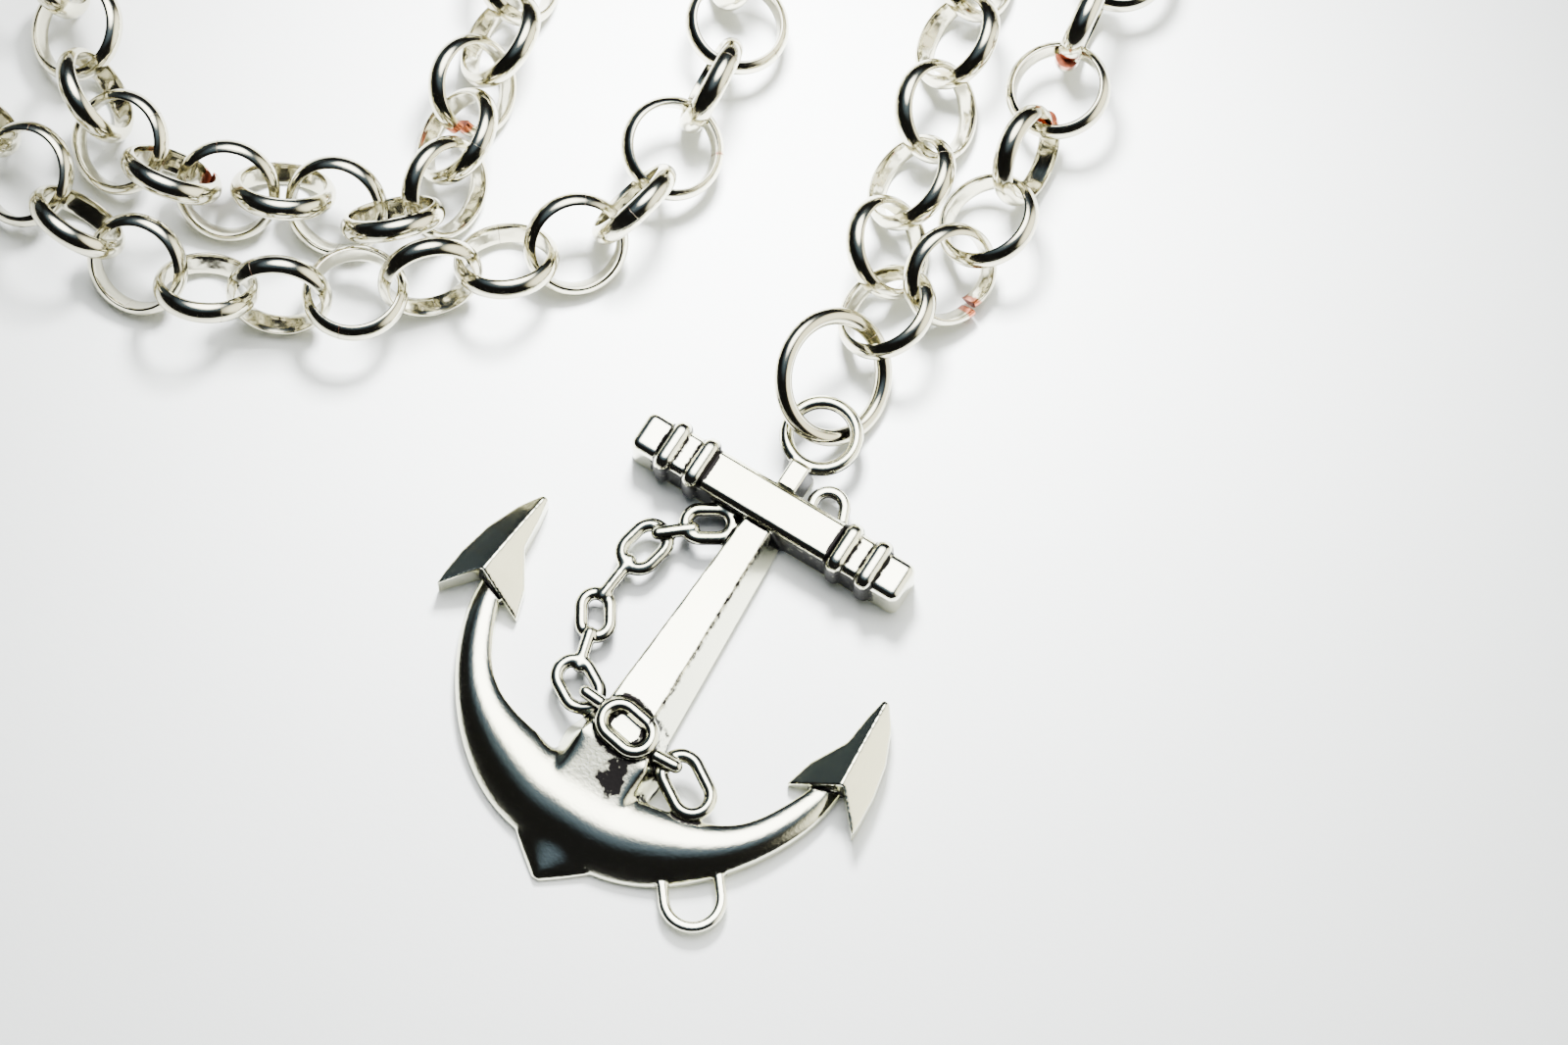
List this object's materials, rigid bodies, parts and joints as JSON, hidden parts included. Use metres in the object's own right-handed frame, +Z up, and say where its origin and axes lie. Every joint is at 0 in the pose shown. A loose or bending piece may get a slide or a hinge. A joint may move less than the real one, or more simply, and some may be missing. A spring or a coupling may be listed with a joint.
{
  "type": "anchor pendant necklace",
  "caption": "Cast anchor pendant on a round jump ring and a rolo chain with a plain clasp, lying in loose curves on a flat surface.",
  "frame": {"origin": "on the casting's flat back, under the middle of its crown", "axes": "+X across the anchor, +Y up its shank towards the eye, +Z up from the flat back"},
  "size_m": [0.1293, 0.1232, 0.0092],
  "materials": {
    "antique_silver": "polished with dark patina in the recesses",
    "silver_plate": "bright plate"
  },
  "bodies": {
    "root": {"anchor": "antique_silver", "jump_ring": "silver_plate", "chain": "silver_plate", "clasp": "silver_plate"}
  },
  "joints": []
}
